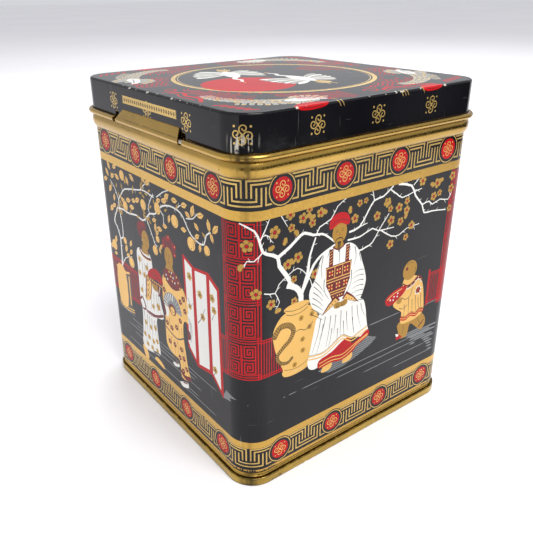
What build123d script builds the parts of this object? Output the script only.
from build123d import *
import os
from math import cos, radians, sin

# Square tea caddy of lithographed tinplate with a hinged lid.
#
# Four pieces: the folded and seamed body, the base end that is double-seamed to it, the drawn lid
# with its hinge tab, and the bent wire that is the hinge pin.
#
# Frame: +Z up, origin at the centre of the footprint on the ground. The hinge is on the +Y side.

os.makedirs("parts", exist_ok=True)

# Driving dimensions, in millimetres.
width = 100.0  # across the flat walls, both ways
height = 125.0  # ground to the top of the lid
corner_radius = 9.0  # outside of the wall
sheet = 0.30  # tinplate
hinge_height = 113.3  # centre of the lid's curled edge, and of the hinge wire
wire_radius = 0.65
running_gap = 0.05  # between the wire and what turns on it

# Body: distances named "out" are measured outwards from the wall's outer face.
half = width / 2
flat = half - corner_radius  # half the straight length of a side
half_sheet = sheet / 2
wall_mid = -half_sheet
layer = sheet + 0.02  # pitch of the folded layers in the seam
seam_cover_out = 0.65  # middle of the seam's outermost layer
seam_hook_out = seam_cover_out - layer  # the body's own hook
seam_fold_out = seam_hook_out - layer  # the base's tucked hook
seam_wall_out = seam_fold_out - layer  # the wall inside the seam
seam_chuck_out = seam_wall_out - layer  # the base's inner wall
seam_top = 2.60  # where the outermost layer starts to fold in
seam_body_turn = 0.80  # height of the body hook's bend
seam_body_hook_top = 2.15
seam_fold_bottom = 1.05
groove_bottom = 3.35
groove_out = -0.75  # deepest point of the groove above the seam
groove_height = 4.30
groove_top = 5.30
bead_bottom = 107.30
bead_crest_out = 0.95
bead_crest_height = 110.35
neck_out = -0.85  # middle of the neck sheet, inside the lid
neck_bottom = 113.20
neck_top = 121.60
neck_curl_radius = 0.60

# Lock seam of the body, inside the wall that faces -Y.
lock_seam_x = 32.0
lock_seam_width = 5.0
lock_seam_depth = 0.75
lock_groove_width = 0.35
lock_groove_depth = 0.12
lock_seam_bottom = 6.0
lock_seam_top = 106.0

# Base end.
base_panel_top = 3.30
foot_corner = 0.34  # bend at each side of the flat foot
base_plate_out = -7.5  # the panel's raised middle
base_step_height = 0.60

# Lid.
lid_plate_out = -6.0  # where the section meets the flat top
skirt_mid = 0.25  # middle of the skirt sheet, outside the wall plane
curl_radius = wire_radius + running_gap + half_sheet  # middle of the curl's sheet
curl_out = skirt_mid + curl_radius
lid_edge_radius = 0.75
curl_low_angle = -60.0  # a point on the underside of the curl
curl_end_angle = 112.0  # the curl stops this far round, just short of the skirt
tab_half = 21.0
notch_half = 23.4
notch_top = 115.9
tab_angle = 22.0  # lean of the flat part of the hinge tab
tab_flat = 3.54
tab_bevel_long = 4.0
tab_bevel_short = 0.8

# Hinge wire.
leg_x = 22.2
clinch_x = 15.5
clinch_gap = 0.4
leg_inside = half + neck_out - half_sheet - wire_radius - clinch_gap
wire_bend = 1.0
leg_hole_depth = 3.0


def rounded_square(out):
    """Sketch of the outline that lies `out` from the wall's outer face."""
    with BuildSketch(mode=Mode.PRIVATE) as outline:
        RectangleRounded(width + 2 * out, width + 2 * out, corner_radius + out)
    return outline.sketch


# Wall sections are drawn where the -Y wall meets its corner: x points out of the wall, y up.
section_plane = Plane(origin=(flat, -half, 0), x_dir=(0, -1, 0), z_dir=(-1, 0, 0))


def carried_round(section):
    """Solid made by carrying a wall section round the square outline."""
    with BuildPart() as quarter:
        extrude(section, amount=2 * flat, dir=(-1, 0, 0))
        revolve(section, axis=Axis((flat, -flat, 0), (0, 0, 1)), revolution_arc=90)
    with BuildPart() as ring:
        for turn in range(4):
            add(quarter.part, rotation=(0, 0, 90 * turn))
    return ring.part


# ---------------------------------------------------------------- body
with BuildSketch(section_plane) as body_section:
    with BuildLine() as body_profile:
        Line((seam_hook_out, seam_body_hook_top), (seam_hook_out, seam_body_turn))
        ThreePointArc(
            (seam_hook_out, seam_body_turn),
            (seam_fold_out, seam_body_turn - layer),
            (seam_wall_out, seam_body_turn),
        )
        Line((seam_wall_out, seam_body_turn), (seam_wall_out, groove_bottom))
        ThreePointArc(
            (seam_wall_out, groove_bottom), (groove_out, groove_height), (wall_mid, groove_top)
        )
        Line((wall_mid, groove_top), (wall_mid, bead_bottom))
        ThreePointArc(
            (wall_mid, bead_bottom),
            (bead_crest_out, bead_crest_height),
            (neck_out, neck_bottom),
        )
        Line((neck_out, neck_bottom), (neck_out, neck_top))
        ThreePointArc(
            (neck_out, neck_top),
            (neck_out - neck_curl_radius, neck_top + neck_curl_radius),
            (neck_out - 2 * neck_curl_radius, neck_top),
        )
        offset(amount=half_sheet, side=Side.BOTH)
    make_face()

with BuildPart() as body_shell:
    add(carried_round(body_section.sketch))
    # The sheet's two edges are hooked together and pressed flat inside the wall.
    with BuildSketch(Plane.XY.offset(lock_seam_bottom)):
        with Locations((lock_seam_x, half_sheet + lock_seam_depth / 2 - half)):
            Rectangle(lock_seam_width, lock_seam_depth + half_sheet)
    extrude(amount=lock_seam_top - lock_seam_bottom)
    with BuildSketch(Plane.XY.offset(lock_seam_bottom)):
        with Locations((lock_seam_x, -half)):
            Rectangle(lock_groove_width, 2 * lock_groove_depth)
    extrude(amount=lock_seam_top - lock_seam_bottom, mode=Mode.SUBTRACT)
    # Two holes through the neck take the legs of the hinge wire.
    with BuildSketch(Plane.XZ.offset(-half - curl_out)):
        with Locations((-leg_x, hinge_height), (leg_x, hinge_height)):
            Circle(wire_radius + running_gap)
    extrude(amount=curl_out + leg_hole_depth, mode=Mode.SUBTRACT)
body_shell.part.label = "caddy_body"
export_step(body_shell.part, "parts/caddy_body.step")

# ---------------------------------------------------------------- base end
with BuildSketch(section_plane) as base_section:
    with BuildLine() as base_profile:
        panel_mid = base_panel_top - half_sheet
        Polyline(
            (base_plate_out - half_sheet, panel_mid + base_step_height),
            (base_plate_out - base_step_height, panel_mid + base_step_height),
            (base_plate_out + base_step_height, panel_mid),
            (seam_chuck_out, panel_mid),
            (seam_chuck_out, half_sheet + foot_corner),
        )
        foot_out = seam_cover_out - foot_corner
        foot_in = seam_chuck_out + foot_corner
        RadiusArc(
            (seam_chuck_out, half_sheet + foot_corner), (foot_in, half_sheet), -foot_corner
        )
        Line((foot_in, half_sheet), (foot_out, half_sheet))
        RadiusArc(
            (foot_out, half_sheet), (seam_cover_out, half_sheet + foot_corner), -foot_corner
        )
        Line((seam_cover_out, half_sheet + foot_corner), (seam_cover_out, seam_top))
        ThreePointArc(
            (seam_cover_out, seam_top),
            (seam_hook_out, seam_top + layer),
            (seam_fold_out, seam_top),
        )
        Line((seam_fold_out, seam_top), (seam_fold_out, seam_fold_bottom))
        offset(amount=half_sheet, side=Side.BOTH)
    make_face()

with BuildPart() as base_end:
    add(carried_round(base_section.sketch))
    with BuildSketch(Plane.XY.offset(base_panel_top + base_step_height - sheet)):
        add(rounded_square(base_plate_out))
    extrude(amount=sheet)
base_end.part.label = "base_end"
export_step(base_end.part, "parts/base_end.step")

# ---------------------------------------------------------------- lid
lid_top_mid = height - half_sheet
edge_mid_radius = lid_edge_radius - half_sheet


def curl_point(angle):
    """Point of the curl's middle line, in the section plane, at an angle from outwards."""
    return (
        curl_out + curl_radius * cos(radians(angle)),
        hinge_height + curl_radius * sin(radians(angle)),
    )


with BuildSketch(section_plane) as lid_section:
    with BuildLine() as lid_profile:
        Line((lid_plate_out - half_sheet, lid_top_mid), (skirt_mid - edge_mid_radius, lid_top_mid))
        RadiusArc(
            (skirt_mid - edge_mid_radius, lid_top_mid),
            (skirt_mid, lid_top_mid - edge_mid_radius),
            edge_mid_radius,
        )
        Line((skirt_mid, lid_top_mid - edge_mid_radius), (skirt_mid, hinge_height))
        ThreePointArc((skirt_mid, hinge_height), curl_point(curl_low_angle), curl_point(curl_end_angle))
        offset(amount=half_sheet, side=Side.BOTH)
    make_face()

rear_plane = Plane(origin=(-tab_half, half, 0), x_dir=(0, 1, 0), z_dir=(1, 0, 0))
tab_start = curl_point(tab_angle)
tab_end = (
    tab_start[0] - tab_flat * sin(radians(tab_angle)),
    tab_start[1] + tab_flat * cos(radians(tab_angle)),
)
with BuildSketch(rear_plane) as tab_section:
    with BuildLine() as tab_profile:
        Line((skirt_mid, notch_top + sheet), (skirt_mid, hinge_height))
        ThreePointArc((skirt_mid, hinge_height), curl_point(curl_low_angle), tab_start)
        offset(amount=half_sheet, side=Side.BOTH)
    make_face()

# The tab's flat leaf leans in until its edge meets the skirt. Its two corners are trimmed.
with BuildPart() as tab_leaf:
    with BuildSketch(rear_plane):
        with BuildLine():
            Line(tab_start, tab_end)
            offset(amount=half_sheet, side=Side.BOTH)
        make_face()
    extrude(amount=2 * tab_half)
    with BuildSketch(Plane.XZ.offset(-half - 2 * curl_out)):
        for side, bevel in ((1, tab_bevel_long), (-1, tab_bevel_short)):
            with BuildLine():
                Polyline(
                    (side * tab_half, tab_start[1]),
                    (side * (tab_half + sheet), tab_start[1]),
                    (side * (tab_half + sheet), tab_end[1] + sheet),
                    (side * (tab_half - bevel), tab_end[1] + sheet),
                    close=True,
                )
            make_face()
    extrude(amount=2 * curl_out, mode=Mode.SUBTRACT)

with BuildPart() as lid:
    add(carried_round(lid_section.sketch))
    with BuildSketch(Plane.XY.offset(height - sheet)):
        add(rounded_square(lid_plate_out))
    extrude(amount=sheet)
    # The rear edge is cut away for the hinge before the tab is folded.
    with BuildSketch(Plane.XY.offset(hinge_height - 2 * curl_radius)):
        with Locations((0, half + curl_out)):
            Rectangle(2 * notch_half, 2 * curl_out + sheet)
    extrude(amount=2 * curl_radius + notch_top - hinge_height, mode=Mode.SUBTRACT)
    extrude(tab_section.sketch, amount=2 * tab_half, dir=(1, 0, 0))
    add(tab_leaf.part)
lid.part.label = "lid"
export_step(lid.part, "parts/lid.step")

# ---------------------------------------------------------------- hinge wire
with BuildPart() as hinge_wire:
    with BuildLine(Plane.XY.offset(hinge_height)) as wire_path:
        FilletPolyline(
            (-clinch_x, leg_inside),
            (-leg_x, leg_inside),
            (-leg_x, half + curl_out),
            (leg_x, half + curl_out),
            (leg_x, leg_inside),
            (clinch_x, leg_inside),
            radius=wire_bend,
        )
    with BuildSketch(Plane(origin=(-clinch_x, leg_inside, hinge_height), z_dir=(-1, 0, 0))):
        Circle(wire_radius)
    sweep()
hinge_wire.part.label = "hinge_wire"
export_step(hinge_wire.part, "parts/hinge_wire.step")
